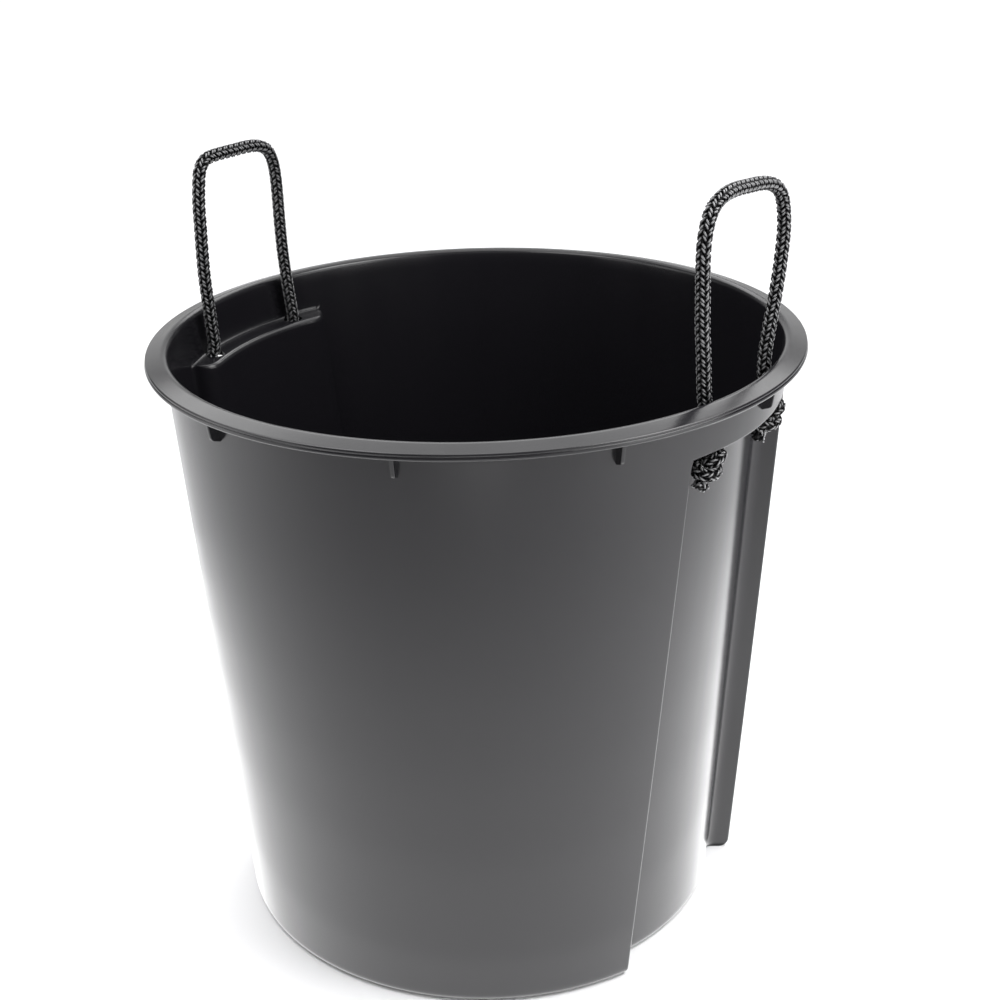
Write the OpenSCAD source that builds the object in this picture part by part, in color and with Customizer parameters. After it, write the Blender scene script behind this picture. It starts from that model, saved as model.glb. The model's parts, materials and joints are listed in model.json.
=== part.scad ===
// Florist bucket: a one-piece moulded tapered bucket with a turned-down rim,
// stiffening ribs under the rim and, on two opposite sides, a recess below an
// inner ledge. A braided rope loop stands in each ledge: both rope ends pass
// down through a hole in the ledge and are stopped by a knot in the recess.
// Origin: centre of the base. +Z up. The two handles lie on +X and -X.

/* [Bucket] */
// Height from the base to the top of the rim
bucket_h = 330; // [310:1:350]
// Diameter across the rim
rim_d = 350; // [346:1:356]
// Outer diameter of the wall where it meets the rim
wall_top_d = 330; // [328:1:332]
// Outer diameter of the wall at the base
wall_base_d = 286; // [280:1:292]
// Thickness of the wall
wall_t = 3; // [2.5:0.1:3.5]
// Thickness of the floor
floor_t = 3.5; // [3:0.1:5]
// Radius of the rounded outer edge of the base
base_round = 5; // [4:0.5:6]

/* [Rim] */
// Thickness of the flange that the rim is made of
flange_t = 3; // [2.5:0.1:3.5]
// How far the rim's outer edge lies below its inner edge
rim_fall = 2.3; // [1.5:0.1:3]
// How far the turned-down lip reaches below the top of the rim
lip_h = 6.8; // [6:0.1:8]
// Thickness of the turned-down lip
lip_t = 2.5; // [2:0.1:3]
// Radius of the rounded inner edge of the rim
rim_round = 3; // [2:0.5:3.5]

/* [Ribs under the rim] */
// Number of ribs around the rim
rib_count = 10; // [8:2:12]
// Thickness of a rib
rib_t = 2; // [1.5:0.1:3]
// How far a rib reaches below the top of the rim
rib_drop = 17.8; // [14:0.1:20]
// Radius of a rib's outer edge at its foot
rib_r = 169.5; // [168:0.5:171]

/* [Handle recesses] */
// Depth of a recess behind the outer wall
recess_depth = 14.5; // [13:0.5:16]
// Half width of a recess at the outer wall, under the ledge
recess_half_top = 57.5; // [55:0.5:60]
// Half width of a recess at the outer wall, at the base
recess_half_base = 68; // [64:0.5:70]
// Angle of a recess's end faces to the handle direction
recess_end_angle = 24; // [20:1:28]
// Distance from the top of the rim down to the ledge
ledge_drop = 25; // [22:0.5:30]
// Thickness of the ledge
ledge_t = 2.5; // [2:0.1:3]
// Radius of the rounded outer edge above a recess
brow_round = 3; // [2:0.5:3.5]

/* [Rope handles] */
// Diameter of the braided rope
rope_d = 7.5; // [7:0.1:8]
// Diameter of a rope hole in the ledge
hole_d = 11; // [10:0.1:11.2]
// Distance of the holes from the middle plane of the bucket
hole_x = 150.5; // [150:0.1:151]
// Half the distance between the two holes of a handle
hole_y = 36.5; // [34:0.5:38]
// Diameter of a stopper knot
knot_d = 20; // [18:0.5:21]
// Height of a stopper knot
knot_h = 15; // [14:0.5:18]
// Distance of the knots from the middle plane of the bucket
knot_x = 156; // [156:0.5:157]
// Length of the loose rope end below a knot
tail_len = 5; // [3:0.5:10]

/* [Hidden] */
body_fn = 240;
hole_fn = 48;
knot_fn = 48;
rope_sides = 10;
end_angles = [75, 50, 25];
arc_steps = 5;
eps = 0.01;
cut_margin = 30;
plastic = [0.27, 0.27, 0.29];
rope_black = [0.10, 0.10, 0.11];

rim_r = rim_d / 2;
base_r = wall_base_d / 2;
wall_top_z = bucket_h - lip_h + 0.5;
ledge_z = bucket_h - ledge_drop;
recess_top_z = ledge_z - ledge_t;
lip_bottom_z = bucket_h - lip_h;
rim_edge_z = bucket_h - rim_fall;
flange_under_z = rim_edge_z - flange_t;

// Loop clearance over the ledge, and the height of the swing axis
swing_gap = 0.6;
swing_z = ledge_z + rope_d / 2 + swing_gap;
rope_r = rope_d / 2;

// Routes of the two loops as a hand holds them, each in its handle's own
// frame: [outwards from the holes, along the rim, above the swing axis]. Both
// start at the hole on the left as seen from outside the bucket.
left_route = [
    [0, -36.5, 0], [0.5, -35.5, 10], [1, -34.5, 22], [1.5, -33.5, 38],
    [2, -33.5, 54], [2.5, -34, 70], [2.5, -33.5, 82], [2, -31, 92],
    [1.5, -26, 99], [1, -18, 102.5], [1, -8, 104], [0.5, 4, 104.5],
    [0, 15, 105], [0, 24, 105], [0, 30.5, 104], [0, 35, 99.5],
    [0, 37, 92], [0, 38.5, 81], [0, 39, 68], [0, 39.5, 54],
    [0, 39.5, 40], [0, 38.5, 26], [0, 37.5, 12], [0, 36.5, 0],
];
right_route = [
    [0, -36.5, 0], [-0.5, -37, 10], [-1, -38.5, 22], [-1, -40, 38],
    [-1.5, -41, 54], [-1.5, -41.5, 70], [-1.5, -42, 84], [-1.5, -41, 95],
    [-1.5, -37, 104], [-1.5, -30, 109.5], [-1, -20, 112], [-1, -8, 112],
    [-0.5, 7, 110.5], [0, 20, 109], [1, 32, 106.5], [2, 41, 101.5],
    [2.5, 46, 93], [2.5, 48, 80], [2, 47, 66], [1.5, 43.5, 50],
    [0.5, 39.5, 34], [-0.5, 37, 20], [-0.5, 36, 9], [0, 36.5, 0],
];

// Outer radius of the wall at height z
function wall_r(z) = base_r + (wall_top_d / 2 - base_r) * z / wall_top_z;

// Points on an arc in the radius-height plane
function arc(r, z, rad, from, to) =
    [for (i = [0 : arc_steps]) let (a = from + (to - from) * i / arc_steps)
        [r + rad * cos(a), z + rad * sin(a)]];

// Outline of the shell: wall, floor, flange and turned-down lip
shell_outline = concat(
    [[0, 0]],
    arc(wall_r(base_round) - base_round, base_round, base_round, -90, 0),
    [[wall_r(flange_under_z), flange_under_z],
     [rim_r - lip_t, flange_under_z],
     [rim_r - lip_t, lip_bottom_z],
     [rim_r, lip_bottom_z]],
    arc(rim_r - 1, rim_edge_z - 1, 1, 0, 80),
    arc(wall_r(bucket_h) - wall_t + rim_round, bucket_h - rim_round, rim_round, 90, 180),
    [[wall_r(floor_t) - wall_t, floor_t], [0, floor_t]]);

// Outline of the filled outer form, used to trim the recess walls
solid_outline = concat(
    [[0, 0]],
    arc(wall_r(base_round) - base_round, base_round, base_round, -90, 0),
    [[wall_r(ledge_z + ledge_t), ledge_z + ledge_t], [0, ledge_z + ledge_t]]);

// Outline of the ring that holds a recess. grow makes it larger all round,
// for the inner side of the recess walls, and top is its upper end.
function recess_ring(grow, top) = concat(
    [[wall_r(0) - recess_depth - grow - base_round, -cut_margin]],
    arc(wall_r(base_round) - recess_depth - grow - base_round, base_round,
        base_round, -90, 0),
    [[wall_r(top) - recess_depth - grow, top]],
    [for (p = arc(wall_r(top) - brow_round, top + brow_round, brow_round, -90, 0))
        if (grow == 0) p],
    [[rim_r + cut_margin, grow == 0 ? top + brow_round : top],
     [rim_r + cut_margin, -cut_margin]]);

// Half width of a recess at distance x from the middle plane, at height z
function recess_half(x, z) =
    let (f = z / recess_top_z,
         edge = recess_half_base + (recess_half_top - recess_half_base) * f,
         edge_x = sqrt(pow(wall_r(z), 2) - pow(edge, 2)))
    edge + (x - edge_x) * tan(recess_end_angle);

// Four-sided block between the end faces of a recess
module recess_wedge(grow) {
    near = 60;
    far = rim_r + 20;
    low = -cut_margin;
    high = recess_top_z + cut_margin;
    g = grow / cos(recess_end_angle);
    // the end faces are flat, so their lines at the base and the ledge are
    // carried on to the block's own ends
    function half(x, z) = recess_half(x, 0)
        + (recess_half(x, recess_top_z) - recess_half(x, 0)) * z / recess_top_z + g;
    corners = [for (z = [low, high]) for (x = [near, far]) for (s = [-1, 1])
        [x, s * half(x, z), z]];
    polyhedron(corners, [[0, 2, 3, 1], [4, 5, 7, 6], [0, 1, 5, 4],
        [2, 6, 7, 3], [0, 4, 6, 2], [1, 3, 7, 5]]);
}

// One recess on the +X side
module recess_block(grow, top) {
    intersection() {
        rotate_extrude($fn = body_fn) polygon(recess_ring(grow, top));
        recess_wedge(grow);
    }
}

module on_both_sides() {
    children();
    rotate([0, 0, 180]) children();
}

// One rib, standing on the wall under the flange
module rib() {
    foot_z = bucket_h - rib_drop;
    wall_in = wall_r(foot_z) - wall_t / 2;
    corner = 2.5;
    rotate([90, 0, 0]) translate([0, 0, -rib_t / 2]) linear_extrude(rib_t)
        polygon(concat(
            [[wall_in, flange_under_z + eps],
             [wall_in, foot_z - 0.5]],
            arc(rib_r - corner, foot_z + corner, corner, -90, 0),
            [[rim_r - lip_t - 0.5, lip_bottom_z + 1],
             [rim_r - lip_t + eps, lip_bottom_z + 2],
             [rim_r - lip_t + eps, flange_under_z + eps]]));
}

module bucket() {
    color(plastic) difference() {
        union() {
            rotate_extrude($fn = body_fn) polygon(shell_outline);
            on_both_sides() intersection() {
                recess_block(wall_t, ledge_z);
                rotate_extrude($fn = body_fn) polygon(solid_outline);
            }
            for (i = [0 : rib_count - 1]) rotate([0, 0, i * 360 / rib_count]) rib();
        }
        on_both_sides() recess_block(0, recess_top_z);
        on_both_sides() for (s = [-1, 1])
            translate([hole_x, s * hole_y, recess_top_z - 1])
                cylinder(d = hole_d, h = ledge_t + 2, $fn = hole_fn);
    }
}

// Tube swept along a route: one ring of points at each route point, square to
// the direction from the point before to the point after
function route_dir(p, i) = let (n = len(p), a = p[max(i - 1, 0)], b = p[min(i + 1, n - 1)])
    (b - a) / norm(b - a);
function ring(c, d, r) = let (side = [1, 0, 0], up = cross(d, side))
    [for (k = [0 : rope_sides - 1]) let (a = 360 * k / rope_sides)
        c + r * (cos(a) * side + sin(a) * up)];

// A loop is one tube along its route, with both ends rounded about the swing
// axis by a few rings of falling radius
module rope_loop(route) {
    last = len(route) - 1;
    start_dir = route_dir(route, 0);
    end_dir = route_dir(route, last);
    rings = concat(
        [for (a = end_angles) ring(route[0] - rope_r * sin(a) * start_dir, start_dir, rope_r * cos(a))],
        [for (i = [0 : last]) ring(route[i], route_dir(route, i), rope_r)],
        [for (i = [len(end_angles) - 1 : -1 : 0]) let (a = end_angles[i])
            ring(route[last] + rope_r * sin(a) * end_dir, end_dir, rope_r * cos(a))]);
    n = len(rings);
    m = rope_sides;
    sides = [for (i = [0 : n - 2]) for (k = [0 : m - 1]) let (l = (k + 1) % m)
        each [[i * m + k, (i + 1) * m + l, i * m + l],
              [i * m + k, (i + 1) * m + k, (i + 1) * m + l]]];
    caps = [[for (k = [0 : m - 1]) k], [for (k = [m - 1 : -1 : 0]) (n - 1) * m + k]];
    color(rope_black) translate([0, 0, swing_z])
        polyhedron([for (r = rings) each r], concat(sides, caps));
}

module right_rope_loop() { translate([hole_x, 0, 0]) rope_loop(right_route); }
module left_rope_loop() { rotate([0, 0, 180]) translate([hole_x, 0, 0]) rope_loop(left_route); }

// The end of a rope: the length in the hole, the knot under the ledge and
// the loose tail, which leans towards the end of the recess
module knot(lean) {
    edge = 6;
    r = knot_d / 2;
    offset_x = knot_x - hole_x;
    color(rope_black) translate([0, 0, recess_top_z]) {
        translate([0, 0, -knot_h / 2]) cylinder(d = rope_d, h = knot_h / 2 + ledge_t, $fn = knot_fn);
        translate([offset_x, 0, 0]) {
            rotate_extrude($fn = knot_fn) polygon(concat(
                [[0, 0]],
                arc(r - edge, -edge, edge, 90, 0),
                arc(r - edge, edge - knot_h, edge, 0, -90),
                [[0, -knot_h]]));
            translate([0, 0, -knot_h + edge]) rotate([lean, 0, 0])
                translate([0, 0, -edge - tail_len])
                    cylinder(d = rope_d, h = edge + tail_len, $fn = knot_fn);
        }
    }
}

module right_front_knot() { translate([hole_x, -hole_y, 0]) knot(-20); }
module right_rear_knot() { translate([hole_x, hole_y, 0]) knot(-25); }
module left_front_knot() { mirror([1, 0, 0]) translate([hole_x, -hole_y, 0]) knot(18); }
module left_rear_knot() { mirror([1, 0, 0]) translate([hole_x, hole_y, 0]) knot(-15); }

bucket();
left_rope_loop();
right_rope_loop();
left_front_knot();
left_rear_knot();
right_front_knot();
right_rear_knot();
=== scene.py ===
import json
import math

import bmesh
import bpy
import numpy as np
from mathutils import Matrix, Vector


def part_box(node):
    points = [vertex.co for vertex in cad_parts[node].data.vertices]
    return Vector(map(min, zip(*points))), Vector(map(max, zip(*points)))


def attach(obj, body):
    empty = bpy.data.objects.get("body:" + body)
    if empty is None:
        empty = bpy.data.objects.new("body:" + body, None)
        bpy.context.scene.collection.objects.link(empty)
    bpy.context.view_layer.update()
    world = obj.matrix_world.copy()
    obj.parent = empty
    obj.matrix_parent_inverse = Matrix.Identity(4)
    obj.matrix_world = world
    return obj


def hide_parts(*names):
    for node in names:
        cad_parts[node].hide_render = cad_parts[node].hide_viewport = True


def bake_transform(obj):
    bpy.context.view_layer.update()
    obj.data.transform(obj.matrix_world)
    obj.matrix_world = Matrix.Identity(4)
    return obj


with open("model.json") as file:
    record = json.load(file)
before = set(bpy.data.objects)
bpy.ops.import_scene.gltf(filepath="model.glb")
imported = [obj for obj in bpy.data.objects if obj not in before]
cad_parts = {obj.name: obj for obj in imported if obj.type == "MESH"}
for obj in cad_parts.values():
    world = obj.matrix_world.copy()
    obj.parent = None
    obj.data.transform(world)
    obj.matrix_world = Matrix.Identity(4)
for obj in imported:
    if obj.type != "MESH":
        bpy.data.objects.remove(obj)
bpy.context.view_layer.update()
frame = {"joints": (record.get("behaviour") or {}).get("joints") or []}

# Sizes are in millimetres until a mesh is made, and angles are in radians unless a
# comment says degrees. The frame is the CAD's: the origin is the centre of the base,
# +Z is up, and the handles are at +X and -X.
MM = 0.001
_, BUCKET_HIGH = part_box("bucket")
SWING = {joint["child"]: [x / MM for x in joint["pos_m"]] for joint in frame["joints"]}


# ---------------------------------------------------------------- camera

# Where the photograph was taken from, about the centre of the rim.
VIEW_AZIMUTH = math.radians(31.5)
VIEW_ELEVATION = 0.3097
VIEW_DISTANCE = 918.1
RIM_CENTRE = Vector((0.0, 0.0, 328.0))
# The photograph's middle is to the right of the rim's centre and below it, and tilted.
AIM_RIGHT = 0.0109
AIM_DOWN = 0.098
CAMERA_ROLL = 0.0306
LENS = 61.54
SENSOR = 36.0


def make_camera():
    """The camera, at the photograph's place and viewing angle."""
    out = Vector((
        math.sin(VIEW_AZIMUTH) * math.cos(VIEW_ELEVATION),
        -math.cos(VIEW_AZIMUTH) * math.cos(VIEW_ELEVATION),
        math.sin(VIEW_ELEVATION),
    ))
    forward = -out
    right = Vector((math.cos(VIEW_AZIMUTH), math.sin(VIEW_AZIMUTH), 0.0))
    up = right.cross(forward)
    turn = Matrix.Rotation(-AIM_RIGHT, 3, up)
    forward, right = turn @ forward, turn @ right
    tilt = Matrix.Rotation(-AIM_DOWN, 3, right)
    forward, up = tilt @ forward, tilt @ up
    roll = Matrix.Rotation(CAMERA_ROLL, 3, forward)
    right, up = roll @ right, roll @ up
    data = bpy.data.cameras.new("camera")
    data.lens = LENS
    data.sensor_width = SENSOR
    data.clip_start = 0.01
    data.clip_end = 50.0
    camera = bpy.data.objects.new("camera", data)
    axes = Matrix((right, up, -forward)).transposed().to_4x4()
    camera.matrix_world = Matrix.Translation((RIM_CENTRE + out * VIEW_DISTANCE) * MM) @ axes
    bpy.context.scene.collection.objects.link(camera)
    bpy.context.scene.camera = camera


# ---------------------------------------------------------------- mesh helpers

def new_object(name, verts, faces):
    """An object with its own mesh, from points in millimetres."""
    mesh = bpy.data.meshes.new(name)
    mesh.from_pydata((np.asarray(verts, float) * MM).tolist(), [], faces)
    mesh.validate()
    obj = bpy.data.objects.new(name, mesh)
    bpy.context.scene.collection.objects.link(obj)
    return obj


def bake_modifiers(obj):
    """Puts the result of an object's modifiers into its mesh."""
    evaluated = obj.evaluated_get(bpy.context.evaluated_depsgraph_get())
    mesh = bpy.data.meshes.new_from_object(evaluated)
    obj.modifiers.clear()
    old, obj.data = obj.data, mesh
    bpy.data.meshes.remove(old)


def quarter(steps):
    """Angles from 0 to a quarter turn."""
    return [math.pi / 2 * i / steps for i in range(steps + 1)]


# ---------------------------------------------------------------- ropes

ROPE_D = 7.5
HOLE_Y = 36.5
LEDGE_Z = 305.0
RECESS_TOP_Z = 302.5
POINT_STEP = 0.65
ROUGH_STEP = 4.0

# The routes of the two loops, as in part.scad, each in its handle's own frame:
# [outwards from the holes, along the rim, above the swing axis].
LEFT_ROUTE = [
    [0, -36.5, 0], [0.5, -35.5, 10], [1, -34.5, 22], [1.5, -33.5, 38],
    [2, -33.5, 54], [2.5, -34, 70], [2.5, -33.5, 82], [2, -31, 92],
    [1.5, -26, 99], [1, -18, 102.5], [1, -8, 104], [0.5, 4, 104.5],
    [0, 15, 105], [0, 24, 105], [0, 30.5, 104], [0, 35, 99.5],
    [0, 37, 92], [0, 38.5, 81], [0, 39, 68], [0, 39.5, 54],
    [0, 39.5, 40], [0, 38.5, 26], [0, 37.5, 12], [0, 36.5, 0],
]
RIGHT_ROUTE = [
    [0, -36.5, 0], [-0.5, -37, 10], [-1, -38.5, 22], [-1, -40, 38],
    [-1.5, -41, 54], [-1.5, -41.5, 70], [-1.5, -42, 84], [-1.5, -41, 95],
    [-1.5, -37, 104], [-1.5, -30, 109.5], [-1, -20, 112], [-1, -8, 112],
    [-0.5, 7, 110.5], [0, 20, 109], [1, 32, 106.5], [2, 41, 101.5],
    [2.5, 46, 93], [2.5, 48, 80], [2, 47, 66], [1.5, 43.5, 50],
    [0.5, 39.5, 34], [-0.5, 37, 20], [-0.5, 36, 9], [0, 36.5, 0],
]

# The overhand knots: the rope is soft, so it packs closer than its diameter.
KNOT_CONTACT = 6.4
KNOT_STEP = 1.5
LOOSE_KNOT_REACH = 2.12
LOOSE_KNOT_POINTS = 400
LOOSE_KNOT_SCALE = 4.2
KNOT_ROUNDS = 1500
KNOT_PULL = 0.05
KNOT_STRAIGHTENING = 0.15
KNOT_MEND_ROUNDS = 4
KNOT_MEND = 0.45
# Along the pull, a tight knot is used as far as KNOT_LEAD from its middle, and its
# outermost wraps are KNOT_CORE from it. It hangs KNOT_OUT outwards of its hole.
KNOT_LEAD = 6.5
KNOT_CORE = 5.2
KNOT_OUT = 2.4
KNOT_GAP = 0.3
# What a tied knot is scaled by: all ways, in height, and in depth
KNOT_TIGHTNESS = 0.88
KNOT_SQUASH = 0.75
KNOT_FLATNESS = 0.82

# The braid: 4 strands turn each way round the rope, with two yarns in each. A strand
# meets 8 of the others in each turn, and goes over one and under the next.
STRANDS_EACH_WAY = 4
YARNS = 2 * 2 * STRANDS_EACH_WAY
WAVES_PER_TURN = STRANDS_EACH_WAY
LAY_LENGTH = 20.0
YARN_TO_STRAND_MIDDLE = 0.52
YARN_WIDTH = 1.12
YARN_THICKNESS = 1.05
YARN_SIDES = 6
YARN_UNEVENNESS = 0.05
BRAID_WAVE = 0.74
BRAID_ANGLE = math.radians(42)
BRAID_SKEW = -0.06
BRAID_FLATNESS = 1.5
CORE_RADIUS = 1.7
CORE_SIDES = 10
FRAY_LENGTH = 5.0
FRAY_SPREAD = 1.6
# How far apart the yarns lie in the fibres' pattern: at random along it, and across it
FIBRE_START_RANGE = 50
FIBRE_YARN_STEP = 7


def resample(line, step):
    """The line again, with points a step apart."""
    line = np.asarray(line, float)
    along = np.concatenate([[0], np.cumsum(np.linalg.norm(np.diff(line, axis=0), axis=1))])
    count = int(round(along[-1] / step)) + 1
    at = np.linspace(0, along[-1], count)
    return np.stack([np.interp(at, along, line[:, k]) for k in range(3)], axis=1)


def smooth_curve(points, per_span=8):
    """A smooth curve through the points (Catmull-Rom)."""
    points = np.asarray(points, float)
    padded = np.vstack([2 * points[0] - points[1], points, 2 * points[-1] - points[-2]])
    out = []
    for i in range(len(points) - 1):
        a, b, c, d = padded[i:i + 4]
        for t in np.arange(per_span) / per_span:
            out.append(0.5 * (
                2 * b + (c - a) * t
                + (2 * a - 5 * b + 4 * c - d) * t ** 2
                + (3 * b - a - 3 * c + d) * t ** 3
            ))
    out.append(points[-1])
    return np.array(out)


def pushed_apart(line, pairs, contact):
    """The line with those of its points moved that lie nearer each other than contact."""
    first, second = pairs
    between = line[second] - line[first]
    distance = np.linalg.norm(between, axis=1)
    close = distance < contact
    if not close.any():
        return line
    first, second, distance = first[close], second[close], distance[close]
    push = ((contact - distance) / distance)[:, None] * between[close] / 4
    total = np.zeros_like(line)
    count = np.zeros(len(line))
    np.add.at(total, first, -push)
    np.add.at(total, second, push)
    np.add.at(count, first, 1)
    np.add.at(count, second, 1)
    return line + 2 * total / np.maximum(1, count)[:, None]


def tight_overhand_knot():
    """The line of an overhand knot, pulled tight along X by its two ends."""
    t = np.linspace(-LOOSE_KNOT_REACH, LOOSE_KNOT_REACH, LOOSE_KNOT_POINTS)
    loose = np.stack([t ** 5 / 5 - 2 * t, t ** 3 - 3 * t, t ** 4 - 4 * t ** 2], axis=1)
    line = resample(loose * LOOSE_KNOT_SCALE, KNOT_STEP)
    core = slice(len(line) // 4, -(len(line) // 4))
    pairs = np.triu_indices(len(line), math.ceil(1.5 * KNOT_CONTACT / KNOT_STEP))
    for _ in range(KNOT_ROUNDS):
        centre = line[core].mean(axis=0)
        for end, pull in ((0, -KNOT_PULL), (-1, KNOT_PULL)):
            line[end, 1:] += KNOT_PULL * (centre[1:] - line[end, 1:])
            line[end, 0] += pull
        line[1:-1] += KNOT_STRAIGHTENING * ((line[:-2] + line[2:]) / 2 - line[1:-1])
        for _ in range(KNOT_MEND_ROUNDS):
            steps = np.diff(line, axis=0)
            length = np.linalg.norm(steps, axis=1)[:, None]
            mend = KNOT_MEND * (length - KNOT_STEP) / length * steps
            line[:-1] += mend
            line[1:] -= mend
            line = pushed_apart(line, pairs, KNOT_CONTACT)
    return line - line[core].mean(axis=0)


def hanging_knot(knot, turn, shift, tail):
    """A knot drawn up against the underside of the ledge, from its top down to the tail's end.

    turn is the knot's angle about the hole's axis, shift how far it sits along the rim from
    the hole, and tail where the tail's end is from the knot's last turn.
    It is in the frame of the hole's mouth on top of the ledge: [outwards, along the rim, up].
    """
    body = np.flatnonzero(np.abs(knot[:, 0]) < KNOT_LEAD)
    knot = KNOT_TIGHTNESS * knot[body[0]:body[-1] + 1]
    knot = np.stack([knot[:, 1], knot[:, 2], -knot[:, 0] * KNOT_SQUASH], axis=1)
    c, s = math.cos(turn), math.sin(turn)
    knot = knot @ np.array([[c, s, 0], [-s, c, 0], [0, 0, 1]])
    knot[:, 0] *= KNOT_FLATNESS
    low, high = knot.min(axis=0), knot.max(axis=0)
    wraps = KNOT_CORE * KNOT_TIGHTNESS * KNOT_SQUASH + ROPE_D / 2
    knot -= [(low[0] + high[0]) / 2 - KNOT_OUT, (low[1] + high[1]) / 2 - shift, 0]
    knot[:, 2] += RECESS_TOP_Z - LEDGE_Z - KNOT_GAP - wraps
    return np.vstack([knot, knot[-1] + tail])


def rope_line(route, body, side, knots):
    """The whole centreline of one rope in the part's frame: tail, knot, loop, knot, tail."""
    swing_x, _, swing_z = SWING[body]
    above = swing_z - LEDGE_Z
    ends = []
    for sign, knot in zip((-1, 1), knots):
        ends.append(knot + np.array([0, sign * HOLE_Y, -above]))
    points = np.vstack([ends[0][::-1], smooth_curve(route), ends[1]])
    points = resample(points, ROUGH_STEP)
    points = resample(smooth_curve(points), POINT_STEP)
    points[:, 0] += abs(swing_x)
    points[:, 2] += swing_z
    points[:, :2] *= side
    return points


def sides_of(line):
    """Two directions square to a line at each of its points, that don't twist along it."""
    ahead = np.gradient(line, axis=0)
    ahead /= np.linalg.norm(ahead, axis=1)[:, None]
    across = np.zeros_like(line)
    start = np.cross(ahead[0], [0.0, 0.0, 1.0])
    if np.linalg.norm(start) < 0.1:
        start = np.array([1.0, 0.0, 0.0])
    across[0] = start / np.linalg.norm(start)
    for i in range(1, len(line)):
        side = across[i - 1] - ahead[i] * (across[i - 1] @ ahead[i])
        across[i] = side / np.linalg.norm(side)
    return across, np.cross(ahead, across)


def tube_faces(count, rings, sides):
    """Quads of several tubes, and their two flat ends, for points in tube, ring and side order."""
    tube, ring, side = np.meshgrid(
        np.arange(count), np.arange(rings - 1), np.arange(sides), indexing="ij"
    )
    start = tube * rings * sides + ring * sides
    following = (side + 1) % sides
    quads = np.stack([
        start + side, start + following, start + sides + following, start + sides + side
    ], axis=-1).reshape(-1, 4).tolist()
    for t in range(count):
        first = t * rings * sides
        last = first + (rings - 1) * sides
        quads.append([first + k for k in reversed(range(sides))])
        quads.append([last + k for k in range(sides)])
    return quads


def yarn_tubes(line, seed):
    """The surface points of every yarn of a braid that follows the line."""
    across, beside = sides_of(line)
    along = np.arange(len(line)) * POINT_STEP
    random = np.random.default_rng(seed)
    radius_mid = ROPE_D / 2 - YARN_THICKNESS / 2 - BRAID_WAVE
    yarn_offset = YARN_TO_STRAND_MIDDLE / math.cos(BRAID_ANGLE) / radius_mid
    tubes = []
    for way in (1, -1):
        for strand in range(STRANDS_EACH_WAY):
            for yarn in (-1, 1):
                start = 2 * math.pi * strand / STRANDS_EACH_WAY
                steady = start + yarn * yarn_offset + way * 2 * math.pi * along / LAY_LENGTH
                phase = WAVES_PER_TURN * steady
                angle = steady + way * BRAID_SKEW * np.sin(phase)
                wave = np.tanh(BRAID_FLATNESS * np.cos(phase)) / math.tanh(BRAID_FLATNESS)
                radius = radius_mid + way * BRAID_WAVE * wave + fray(along, random)
                outwards = np.cos(angle)[:, None] * across + np.sin(angle)[:, None] * beside
                centre = line + radius[:, None] * outwards
                tubes.append(ring_points(centre, outwards, random))
    return np.concatenate(tubes)


def fray(along, random):
    """How far a yarn stands away from the rope near its two cut ends."""
    spread = random.uniform(0.0, FRAY_SPREAD, 2)
    start = np.clip(1 - along / FRAY_LENGTH, 0, 1) ** 2
    end = np.clip(1 - (along[-1] - along) / FRAY_LENGTH, 0, 1) ** 2
    return spread[0] * start + spread[1] * end


def ring_points(centre, outwards, random):
    """Rings of an oval yarn along its own centre line."""
    ahead = np.gradient(centre, axis=0)
    ahead /= np.linalg.norm(ahead, axis=1)[:, None]
    up = outwards - ahead * (outwards * ahead).sum(axis=1)[:, None]
    up /= np.linalg.norm(up, axis=1)[:, None]
    wide = np.cross(ahead, up)
    size = 1 + YARN_UNEVENNESS * random.standard_normal()
    turn = 2 * math.pi * np.arange(YARN_SIDES) / YARN_SIDES
    rings = (
        centre[:, None, :]
        + size * YARN_WIDTH / 2 * np.cos(turn)[None, :, None] * wide[:, None, :]
        + size * YARN_THICKNESS / 2 * np.sin(turn)[None, :, None] * up[:, None, :]
    )
    return rings.reshape(-1, 3)


def make_rope(name, line, seed):
    """A braided rope: its yarns, and a core that closes the gaps between them."""
    yarns = yarn_tubes(line, seed)
    faces = tube_faces(YARNS, len(line), YARN_SIDES)
    across, beside = sides_of(line)
    turn = 2 * math.pi * np.arange(CORE_SIDES) / CORE_SIDES
    core = (
        line[:, None, :]
        + CORE_RADIUS * np.cos(turn)[None, :, None] * across[:, None, :]
        + CORE_RADIUS * np.sin(turn)[None, :, None] * beside[:, None, :]
    ).reshape(-1, 3)
    shift = len(yarns)
    faces += [[i + shift for i in face] for face in tube_faces(1, len(line), CORE_SIDES)]
    obj = new_object(name, np.concatenate([yarns, core]), faces)
    obj.data.shade_smooth()
    add_fibre_map(obj, len(line), seed)
    add_crests(obj, line)
    return obj


def add_crests(obj, line):
    """How far each yarn's surface is from the middle of the rope, for the painted shade of its
    colour: darker deeper in the braid.
    """
    points = np.zeros(3 * len(obj.data.vertices))
    obj.data.vertices.foreach_get("co", points)
    points = points.reshape(-1, 3) / MM
    middle = np.tile(np.repeat(line, YARN_SIDES, axis=0), (YARNS, 1))
    crest = np.zeros(len(points))
    # The core's points keep 0, so the core is painted in the darkest shade.
    crest[:len(middle)] = np.linalg.norm(points[:len(middle)] - middle, axis=1)
    layer = obj.data.attributes.new("crest", "FLOAT", "POINT")
    layer.data.foreach_set("value", crest)


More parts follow.
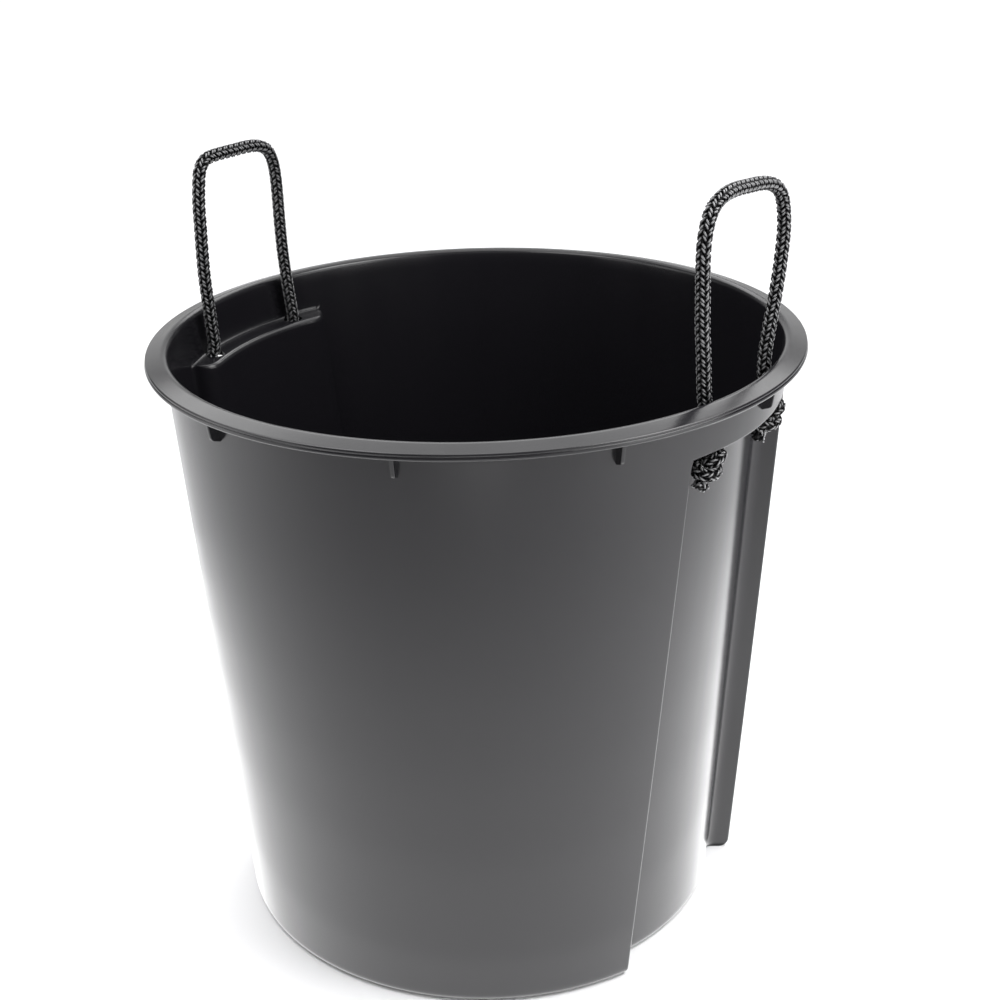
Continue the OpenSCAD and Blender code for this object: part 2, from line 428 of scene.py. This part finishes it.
def add_fibre_map(obj, rings, seed):
    """A map that runs along and around every yarn, for the fibres of the material."""
    tube, ring, side = np.meshgrid(
        np.arange(YARNS), np.arange(rings), np.arange(YARN_SIDES), indexing="ij"
    )
    start = np.random.default_rng(seed).uniform(0, FIBRE_START_RANGE, YARNS)
    along = ring * POINT_STEP + start[tube]
    around = np.abs(side - YARN_SIDES / 2) * YARN_WIDTH * math.pi / YARN_SIDES
    around = around + FIBRE_YARN_STEP * tube
    points = np.zeros((len(obj.data.vertices), 2))
    points[:along.size] = np.stack([along.ravel(), around.ravel()], axis=1)
    corners = np.zeros(len(obj.data.loops), int)
    obj.data.loops.foreach_get("vertex_index", corners)
    fibre_map = obj.data.uv_layers.new(name="fibres")
    fibre_map.data.foreach_set("uv", points[corners].ravel())


def make_ropes(material):
    """Both ropes, each with its two knots."""
    knot = tight_overhand_knot()
    mirrored = knot * [1, 1, -1]
    quarter_turn = math.pi / 2
    plans = {
        "right": (RIGHT_ROUTE, 1, [
            hanging_knot(mirrored, -quarter_turn, -3, [0, -6, -6]),
            hanging_knot(mirrored, -quarter_turn, 0, [0, -11, -4]),
        ], ("right_front_knot", "right_rear_knot")),
        "left": (LEFT_ROUTE, -1, [
            hanging_knot(knot, quarter_turn, 0, [0, 5, -7]),
            hanging_knot(mirrored, -quarter_turn, 1, [0, -6, -6]),
        ], ("left_rear_knot", "left_front_knot")),
    }
    for number, (side, (route, sign, knots, cad_knots)) in enumerate(plans.items()):
        body = f"{side}_loop"
        line = rope_line(route, body, sign, knots)
        rope = make_rope(f"{side}_rope", line, seed=10 + number)
        rope.data.materials.append(material)
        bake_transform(rope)
        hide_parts(f"{side}_rope_loop", *cad_knots)


# ---------------------------------------------------------------- bucket

BUCKET_H = BUCKET_HIGH.z / MM
RIM_R = BUCKET_HIGH.x / MM
WALL_TOP_R = 165.0
WALL_TOP_Z = 323.7
WALL_BASE_R = 143.0
WALL_T = 3.0
FLOOR_T = 3.5
BASE_ROUND = 5.3
RECESS_DEPTH = 14.5
RECESS_HALF_TOP = 57.5
RECESS_HALF_BASE = 68.0
LEDGE_ROUND = 3.0
HOLE_R = 5.5
HOLE_SEGMENTS = 48
HOLE_CUT_HEIGHT = 12
RIB_COUNT = 10
RIB_T = 2.0
RIB_FOOT_Z = 312.5
RIB_FOOT_R = 169.5
RIB_FOOT_ROUND = 2.6
RIB_EDGE_ROUND = 0.45

# Roundings and steps of the rim, the ledges and the recess tops
RIM_DEPTH = 5.6
RIM_ROOT_ROUND = 2.2
LIP_DEPTH = 6.2
LIP_ROUND = 1.5
RIM_EDGE_ROUND = 1.0
RIM_EDGE_INSET = 1.3
RIM_EDGE_DEPTH = 3.1
RIM_CREST_ROUND = 3.2
LEDGE_ROOT_ROUND = 2.2
RECESS_TOP_ROUND = 1.6
BROW_ROUND = 1.1
INSIDE_BASE_ROUND = 6.0
# Roundings of a recess's two upright edges on the outer face, then on the inner face
OUTER_CORNER = 1.3
OUTER_FILLET = 8.0
INNER_CORNER = 3.9
INNER_FILLET = OUTER_FILLET + WALL_T

# Edges sharper than this are not shaded smooth.
SHARP_ANGLE = math.radians(38)

# Angular columns of the bucket's mesh, for each quarter of it
FLOOR_COLUMNS = 16
WALL_COLUMNS = 46
# The columns crowd towards the recess: their spacing grows with this power.
CROWDING = 1.25
# A row changes from its height on the wall to its height in a recess over this depth.
HEIGHT_CHANGE_DEPTH = 2.5


def wall_radius(z):
    """Radius of the wall's outer face at height z."""
    return WALL_BASE_R + (WALL_TOP_R - WALL_BASE_R) * z / WALL_TOP_Z


def inner_radius(z):
    """Radius of the wall's inner face at height z."""
    return wall_radius(z) - WALL_T


def recess_edge_angle(z):
    """Angle from the handle's direction to a recess's edge, at height z."""
    z = np.clip(z, 0, RECESS_TOP_Z)
    half = RECESS_HALF_BASE + (RECESS_HALF_TOP - RECESS_HALF_BASE) * z / RECESS_TOP_Z
    return np.arcsin(half / wall_radius(z))


def recess_section(corner, fillet):
    """Plan section of a recess's edge, from the floor to the wall: [along the wall, depth]."""
    floor_end = [
        (-fillet + fillet * math.cos(a), RECESS_DEPTH - fillet + fillet * math.sin(a))
        for a in reversed(quarter(9))
    ]
    wall_end = [
        (corner - corner * math.sin(a), corner - corner * math.cos(a))
        for a in reversed(quarter(5))
    ]
    return np.array(floor_end + wall_end)


class Sheet:
    """The outer or the inner face of the bucket, as columns around one quarter of it."""

    def __init__(self, corner, fillet, shift):
        section = recess_section(corner, fillet)
        wall = np.zeros(WALL_COLUMNS)
        floor = np.full(FLOOR_COLUMNS, RECESS_DEPTH)
        self.depth = np.concatenate([floor, section[:, 1], wall])
        self.section_along = section[:, 0]
        self.shift = shift

    def angles(self, z):
        """The columns' angles from the handle's direction, at height z."""
        radius = wall_radius(z)
        edge = recess_edge_angle(z) + self.shift / radius
        section = edge + self.section_along / (radius - self.depth[FLOOR_COLUMNS:-WALL_COLUMNS])
        floor = section[0] * np.arange(FLOOR_COLUMNS) / FLOOR_COLUMNS
        share = (np.arange(WALL_COLUMNS) + 1) / WALL_COLUMNS
        wall = section[-1] + (math.pi / 2 - section[-1]) * share ** CROWDING
        return np.concatenate([floor, section, wall])


def arc_rows(centre, radius, start, end, steps):
    """Points on an arc in the plane of radius and height, angles in degrees."""
    turn = np.radians(np.linspace(start, end, steps + 1))
    return [(centre[0] + radius * math.cos(a), centre[1] + radius * math.sin(a)) for a in turn]


def plain(points, inner):
    """Rows that are the same all round.

    A row is its radius and height in a recess, its share of the recess's depth, its radius
    and height on the wall beside it, and 0 on the outer face or 1 on the inner face.
    """
    return [(r, z, 0.0, r, z, inner) for r, z in points]


def outer_rows():
    """Rows of the outer face, from the base up to the rim's outer edge."""
    rows = []
    for a in quarter(6):
        r = wall_radius(BASE_ROUND) - BASE_ROUND + BASE_ROUND * math.sin(a)
        z = BASE_ROUND - BASE_ROUND * math.cos(a)
        rows.append((r, z, 1.0, r, z, 0.0))
    for z in np.linspace(BASE_ROUND + 2, RECESS_TOP_Z - 6, 44):
        rows.append((wall_radius(z), z, 1.0, wall_radius(z), z, 0.0))
    top = []
    flat_depth = RECESS_DEPTH - RECESS_TOP_ROUND
    for a in quarter(3):
        top.append((
            RECESS_DEPTH - RECESS_TOP_ROUND * (1 - math.cos(a)),
            RECESS_TOP_Z - RECESS_TOP_ROUND * (1 - math.sin(a)),
        ))
    for share in (0.25, 0.5, 0.75):
        top.append((flat_depth - share * (flat_depth - BROW_ROUND), RECESS_TOP_Z))
    for a in quarter(5):
        top.append((
            BROW_ROUND - BROW_ROUND * math.sin(a),
            RECESS_TOP_Z + BROW_ROUND - BROW_ROUND * math.cos(a),
        ))
    side = np.linspace(RECESS_TOP_Z - 5, RECESS_TOP_Z + BROW_ROUND + 0.5, len(top))
    for (depth, z), side_z in zip(top, side):
        rows.append((wall_radius(z), z, depth / RECESS_DEPTH, wall_radius(side_z), side_z, 0.0))
    under = BUCKET_H - RIM_DEPTH
    root = wall_radius(under) + RIM_ROOT_ROUND
    band = [(wall_radius(z), z) for z in np.linspace(RECESS_TOP_Z + 3.5, under - 3, 6)]
    band += arc_rows((root, under - RIM_ROOT_ROUND), RIM_ROOT_ROUND, 180, 90, 4)
    band += [(RIM_R - 3.2, under), (RIM_R - 2.9, under - 0.3)]
    lip = BUCKET_H - LIP_DEPTH
    band += [(RIM_R - 2.8, lip + 0.5), (RIM_R - 2.4, lip)]
    band += arc_rows((RIM_R - LIP_ROUND, lip + LIP_ROUND), LIP_ROUND, -90, 40, 7)
    band += [(RIM_R - 0.75, lip + 2.8)]
    edge = (RIM_R - RIM_EDGE_INSET, BUCKET_H - RIM_EDGE_DEPTH)
    band += arc_rows(edge, RIM_EDGE_ROUND, -30, 78, 7)
    return rows + plain(band, 0.0)


def inner_rows():
    """Rows of the rim's top and the inner face, down to the floor."""
    crest = (inner_radius(BUCKET_H) + RIM_CREST_ROUND, BUCKET_H - RIM_CREST_ROUND)
    # The rim's top slopes straight up from the end of its outer edge to its crest.
    outer = (RIM_R - RIM_EDGE_INSET + 0.21, BUCKET_H - RIM_EDGE_DEPTH + 0.98)
    inner = (crest[0] + 0.55, BUCKET_H)
    rows = []
    for share in (0.1, 0.5, 0.9):
        rows += plain([(
            outer[0] + (inner[0] - outer[0]) * share,
            outer[1] + (inner[1] - outer[1]) * share,
        )], share)
    rows += plain(arc_rows(crest, RIM_CREST_ROUND, 80, 180, 8), 1.0)
    for z in np.linspace(BUCKET_H - 6, LEDGE_Z + 5, 5):
        rows += plain([(inner_radius(z), z)], 1.0)
    ledge = []
    root = LEDGE_ROOT_ROUND
    for a in quarter(4):
        ledge.append((root - root * math.cos(a), LEDGE_Z + root - root * math.sin(a)))
    for share in (0.2, 0.4, 0.6, 0.8):
        ledge.append((root + share * (RECESS_DEPTH - root - LEDGE_ROUND), LEDGE_Z))
    for a in quarter(6):
        ledge.append((
            RECESS_DEPTH - LEDGE_ROUND + LEDGE_ROUND * math.sin(a),
            LEDGE_Z - LEDGE_ROUND + LEDGE_ROUND * math.cos(a),
        ))
    side = np.linspace(LEDGE_Z + 4, LEDGE_Z - LEDGE_ROUND - 1, len(ledge))
    for (depth, z), side_z in zip(ledge, side):
        rows.append((inner_radius(z), z, depth / RECESS_DEPTH, inner_radius(side_z), side_z, 1.0))
    foot = FLOOR_T + INSIDE_BASE_ROUND
    for z in np.linspace(LEDGE_Z - LEDGE_ROUND - 3, foot + 2, 34):
        rows.append((inner_radius(z), z, 1.0, inner_radius(z), z, 1.0))
    for a in quarter(6):
        r = inner_radius(foot) - INSIDE_BASE_ROUND * (1 - math.cos(a))
        z = foot - INSIDE_BASE_ROUND * math.sin(a)
        rows.append((r, z, 1.0, r, z, 1.0))
    return rows


def bucket_shell():
    """The whole bucket without its ribs and rope holes: one closed mesh."""
    sheets = (
        Sheet(OUTER_CORNER, OUTER_FILLET, 0.0),
        Sheet(INNER_CORNER, INNER_FILLET, WALL_T),
    )
    rows = outer_rows() + inner_rows()
    rings = []
    for r, z, share, side_r, side_z, inner in rows:
        depth = (1 - inner) * sheets[0].depth + inner * sheets[1].depth
        angle = (1 - inner) * sheets[0].angles(z) + inner * sheets[1].angles(z)
        weight = np.clip(depth / HEIGHT_CHANGE_DEPTH, 0, 1)
        weight = weight ** 2 * (3 - 2 * weight)
        radius = side_r + (r - side_r) * weight - depth * share
        height = side_z + (z - side_z) * weight
        rings.append(full_ring(angle, radius, height))
    first, last = rings[0], rings[-1]
    # Smaller and smaller rings close the base and the floor.
    shares = (0.9, 0.7, 0.4)
    rings = (
        [first * [share, share, 1] for share in reversed(shares)]
        + rings
        + [last * [share, share, 1] for share in shares]
    )
    count = len(rings[0])
    verts = np.concatenate(rings)
    faces = []
    for i in range(len(rings) - 1):
        for k in range(count):
            n = (k + 1) % count
            faces.append([i * count + k, i * count + n, (i + 1) * count + n, (i + 1) * count + k])
    last_start = (len(rings) - 1) * count
    bottom, floor = len(verts), len(verts) + 1
    verts = np.vstack([verts, [0, 0, first[0, 2]], [0, 0, last[0, 2]]])
    for k in range(count):
        n = (k + 1) % count
        faces.append([bottom, n, k])
        faces.append([floor, last_start + k, last_start + n])
    return new_object("bucket_shell", verts, faces)


def full_ring(angle, radius, height):
    """One row all round the bucket, from the columns of its first quarter."""
    x, y = radius * np.cos(angle), radius * np.sin(angle)
    first = np.stack([x, y, height], axis=1)
    second = first[-2::-1] * [-1, 1, 1]
    third = first[1:] * [-1, -1, 1]
    fourth = first[-2:0:-1] * [1, -1, 1]
    return np.concatenate([first, second, third, fourth])


def make_rib():
    """One rib under the rim, on +X: a thin plate with rounded edges."""
    corner = RIB_FOOT_ROUND
    foot_r = wall_radius(RIB_FOOT_Z) - WALL_T / 2
    outline = [(foot_r, BUCKET_H - 4.2), (foot_r, RIB_FOOT_Z - 1.5)]
    outline += arc_rows((RIB_FOOT_R - corner, RIB_FOOT_Z + corner), corner, -75, 0, 5)
    outline += [(RIM_R - 4.0, BUCKET_H - 6.0), (RIM_R - 3.4, BUCKET_H - 4.2)]
    half = RIB_T / 2
    verts = [(r, -half, z) for r, z in outline] + [(r, half, z) for r, z in outline]
    n = len(outline)
    faces = [list(range(n)), list(reversed(range(n, 2 * n)))]
    faces += [[(i + 1) % n, i, n + i, n + (i + 1) % n] for i in range(n)]
    rib = new_object("rib", verts, faces)
    rounded = rib.modifiers.new("edges", "BEVEL")
    rounded.width = RIB_EDGE_ROUND * MM
    rounded.segments = 3
    bake_modifiers(rib)
    return rib


def hole_cutters():
    """Rods that cut the rope holes through the two ledges."""
    mesh = bmesh.new()
    swing_x = SWING["right_loop"][0]
    for sx in (-1, 1):
        for sy in (-1, 1):
            place = Matrix.Translation(Vector((sx * swing_x, sy * HOLE_Y, LEDGE_Z)) * MM)
            bmesh.ops.create_cone(
                mesh, cap_ends=True, segments=HOLE_SEGMENTS, radius1=HOLE_R * MM,
                radius2=HOLE_R * MM, depth=HOLE_CUT_HEIGHT * MM, matrix=place,
            )
    data = bpy.data.meshes.new("holes")
    mesh.to_mesh(data)
    mesh.free()
    obj = bpy.data.objects.new("holes", data)
    bpy.context.scene.collection.objects.link(obj)
    return obj


def merged_ribs():
    """All the ribs in one object."""
    rib = make_rib()
    mesh = bmesh.new()
    for i in range(RIB_COUNT):
        start = len(mesh.verts)
        mesh.from_mesh(rib.data)
        mesh.verts.ensure_lookup_table()
        turn = Matrix.Rotation(2 * math.pi * i / RIB_COUNT, 4, "Z")
        bmesh.ops.transform(mesh, matrix=turn, verts=mesh.verts[start:])
    bmesh.ops.recalc_face_normals(mesh, faces=mesh.faces)
    mesh.to_mesh(rib.data)
    mesh.free()
    return rib


def make_bucket(material):
    """The bucket in one piece, as it is moulded, with its ribs and rope holes."""
    bucket = bucket_shell()
    mesh = bmesh.new()
    mesh.from_mesh(bucket.data)
    bmesh.ops.recalc_face_normals(mesh, faces=mesh.faces)
    mesh.to_mesh(bucket.data)
    mesh.free()
    bucket.name = "bucket_moulding"
    for operation, tool in (("UNION", merged_ribs()), ("DIFFERENCE", hole_cutters())):
        cut = bucket.modifiers.new(operation, "BOOLEAN")
        cut.operation = operation
        cut.solver = "MANIFOLD"
        cut.object = tool
        bake_modifiers(bucket)
        bpy.data.objects.remove(tool)
    bucket.data.shade_smooth()
    bucket.data.set_sharp_from_angle(angle=SHARP_ANGLE)
    bucket.data.materials.clear()
    bucket.data.materials.append(material)
    shading = bucket.modifiers.new("shading", "WEIGHTED_NORMAL")
    shading.keep_sharp = True
    bake_modifiers(bucket)
    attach(bucket, "bucket")
    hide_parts("bucket")


# ---------------------------------------------------------------- materials

def material_nodes(name):
    """A new material, its node tree, and its shader."""
    material = bpy.data.materials.new(name)
    material.use_nodes = True
    tree = material.node_tree
    return material, tree, tree.nodes["Principled BSDF"]


def noise(tree, coordinates, scale, detail=4.0, stretch=None):
    """A noise texture; stretch scales its coordinates along each axis."""
    texture = tree.nodes.new("ShaderNodeTexNoise")
    texture.inputs["Scale"].default_value = scale
    texture.inputs["Detail"].default_value = detail
    if stretch:
        mapping = tree.nodes.new("ShaderNodeMapping")
        mapping.inputs["Scale"].default_value = stretch
        tree.links.new(coordinates, mapping.inputs["Vector"])
        coordinates = mapping.outputs["Vector"]
    tree.links.new(coordinates, texture.inputs["Vector"])
    return texture.outputs["Fac"]


def ramp(tree, value, low, high, from_low=0.3, from_high=0.7):
    """A value spread from one range to another."""
    node = tree.nodes.new("ShaderNodeMapRange")
    node.inputs["From Min"].default_value = from_low
    node.inputs["From Max"].default_value = from_high
    node.inputs["To Min"].default_value = low
    node.inputs["To Max"].default_value = high
    tree.links.new(value, node.inputs["Value"])
    return node.outputs["Result"]


def colour_mix(tree, value, first, second):
    """Two colours mixed by a value from 0 to 1."""
    node = tree.nodes.new("ShaderNodeMix")
    node.data_type = "RGBA"
    node.inputs["A"].default_value = (*first, 1.0)
    node.inputs["B"].default_value = (*second, 1.0)
    tree.links.new(value, node.inputs["Factor"])
    return node.outputs["Result"]


def bump(tree, height, distance, strength=1.0, after=None):
    """Small relief on a surface, on top of another such relief if one is given."""
    node = tree.nodes.new("ShaderNodeBump")
    node.inputs["Strength"].default_value = strength
    node.inputs["Distance"].default_value = distance
    tree.links.new(height, node.inputs["Height"])
    if after:
        tree.links.new(after, node.inputs["Normal"])
    return node.outputs["Normal"]


def plastic_material():
    """Dark grey moulded polypropylene with a satin face."""
    material, tree, shader = material_nodes("moulded_plastic")
    place = tree.nodes.new("ShaderNodeTexCoord").outputs["Object"]
    patches = noise(tree, place, 14.0, detail=3.0)
    tint = colour_mix(tree, patches, (0.0050, 0.0048, 0.0060), (0.0068, 0.0065, 0.0079))
    tree.links.new(tint, shader.inputs["Base Color"])
    streaks = noise(tree, place, 60.0, detail=4.0, stretch=(1.0, 1.0, 0.12))
    tree.links.new(ramp(tree, streaks, 0.19, 0.23), shader.inputs["Roughness"])
    shader.inputs["Specular IOR Level"].default_value = 0.5
    shader.inputs["IOR"].default_value = 1.4
    waves = bump(tree, noise(tree, place, 12.0, detail=1.0), 0.0008, 0.2)
    grain = bump(tree, noise(tree, place, 1500.0, detail=2.0), 0.00003, 0.5, after=waves)
    tree.links.new(grain, shader.inputs["Normal"])
    return material


def rope_material():
    """Black synthetic yarn: lengthwise fibres with a silky shine, and painted shade: dark deep in
    the braid and on the core, paler on the yarns' crests.
    """
    material, tree, shader = material_nodes("braided_rope")
    along_yarn = tree.nodes.new("ShaderNodeTexCoord").outputs["UV"]
    fibres = noise(tree, along_yarn, 1.0, detail=3.0, stretch=(0.5, 7.0, 1.0))
    crest = tree.nodes.new("ShaderNodeAttribute")
    crest.attribute_name = "crest"
    # Painted shade: the colour darkens with depth into the braid, standing in for the shade between
    # the yarns; the shine follows it too.
    painted_depth_shade = ramp(tree, crest.outputs["Fac"], 0.0, 1.0, 3.2, ROPE_D / 2)
    tint = colour_mix(tree, painted_depth_shade, (0.003, 0.003, 0.0035), (0.15, 0.15, 0.154))
    tree.links.new(tint, shader.inputs["Base Color"])
    tree.links.new(ramp(tree, fibres, 0.45, 0.30), shader.inputs["Roughness"])
    tree.links.new(ramp(tree, painted_depth_shade, 0.1, 0.8, 0.0, 1.0), shader.inputs["Specular IOR Level"])
    tree.links.new(bump(tree, fibres, 0.00012, 0.7), shader.inputs["Normal"])
    return material


def floor_material():
    """A plain pale matt floor."""
    material, tree, shader = material_nodes("pale_floor")
    shader.inputs["Base Color"].default_value = (0.78, 0.78, 0.79, 1.0)
    shader.inputs["Roughness"].default_value = 0.7
    return material


# ---------------------------------------------------------------- studio

FLOOR_HALF = 12000
# Lights are placed in metres. This is the height that the soft lights face.
LIGHT_AIM_Z = 0.2
# The discs of a glow: how many, the lowest one's height, and the step to the next
GLOW_DISCS = 6
GLOW_HEIGHT = 0.001
GLOW_STEP = 0.0003


def make_floor():
    """A floor that fills the view, for the renders only."""
    half = FLOOR_HALF
    floor = new_object("floor", [
        (-half, -half, 0), (half, -half, 0), (half, half, 0), (-half, half, 0)
    ], [[0, 1, 2, 3]])
    floor.data.materials.append(floor_material())


def soft_light(name, azimuth, elevation, distance, width, height, power):
    """A soft panel that faces the bucket, in degrees, metres and watts.

    Azimuth 0 is at the camera, and 90 to its right.
    """
    a, e = math.radians(azimuth) + VIEW_AZIMUTH, math.radians(elevation)
    data = bpy.data.lights.new(name, "AREA")
    data.shape = "RECTANGLE"
    data.size = width
    data.size_y = height
    data.energy = power
    light = bpy.data.objects.new(name, data)
    out = Vector((math.sin(a) * math.cos(e), -math.cos(a) * math.cos(e), math.sin(e)))
    light.location = Vector((0, 0, LIGHT_AIM_Z)) + out * distance
    light.rotation_euler = out.to_track_quat("Z", "Y").to_euler()
    light.visible_camera = False
    bpy.context.scene.collection.objects.link(light)
    return light


def hanging_panel(name, azimuth, distance, height, width, depth, power):
    """A soft panel that faces straight down."""
    light = soft_light(name, azimuth, 0, distance, width, depth, power)
    light.location.z = height
    light.rotation_euler = (0.0, 0.0, VIEW_AZIMUTH)


def floor_glow(azimuth, distance, narrowest, widest, radiance):
    """A patch of light on the floor that throws light up: nested discs, so it fades to its edge."""
    for i, width in enumerate(np.linspace(narrowest, widest, GLOW_DISCS)):
        power = radiance / GLOW_DISCS * math.pi * math.pi * width ** 2 / 4
        disc = soft_light("glow", azimuth, 0, distance, width, width, power)
        disc.data.shape = "DISK"
        # Discs at one height would hide each other's light.
        disc.location.z = GLOW_HEIGHT + GLOW_STEP * (GLOW_DISCS - i)
        disc.rotation_euler = (math.pi, 0.0, 0.0)


def make_lights():
    """A white studio: soft panels around the bucket, and a pale table's light from below."""
    world = bpy.data.worlds.new("studio")
    world.use_nodes = True
    background = world.node_tree.nodes["Background"]
    background.inputs["Color"].default_value = (1.0, 1.0, 1.0, 1.0)
    background.inputs["Strength"].default_value = 0.24
    bpy.context.scene.world = world
    soft_light("left_panel", -75, 6, 1.0, 0.7, 1.0, 3.6)
    soft_light("left_side_panel", -95, 6, 1.0, 0.7, 1.0, 2.4)
    soft_light("right_panel", 38, 8, 1.2, 0.8, 1.0, 4.0)
    soft_light("right_side_panel", 62, 8, 1.2, 0.8, 1.0, 8.5)
    soft_light("top_panel", 0, 88, 1.1, 0.9, 0.9, 7.0)
    soft_light("front_panel", 0, 32, 1.6, 1.0, 0.5, 1.0)
    soft_light("back_panel", 180, 12, 4.8, 6.5, 1.5, 24.0)
    soft_light("high_back_panel", 180, 40, 2.2, 2.4, 0.8, 9.0)
    # A pale table throws light up the wall, most of it near the base.
    floor_glow(0, 0.0, 0.34, 1.1, 2.0)
    floor_glow(0, 1.05, 0.3, 0.6, 4.5)
    # Panels that hang over the floor, beside the bucket and behind it.
    hanging_panel("right_softbox", 66, 0.58, 0.8, 0.5, 0.5, 8.5)
    hanging_panel("left_softbox", -62, 0.42, 0.75, 0.4, 0.4, 2.5)
    hanging_panel("floor_wash", 180, 2.97, 3.17, 7.0, 5.2, 245)


bpy.context.scene.view_settings.view_transform = "Standard"
make_camera()
make_ropes(rope_material())
make_bucket(plastic_material())
make_floor()
make_lights()
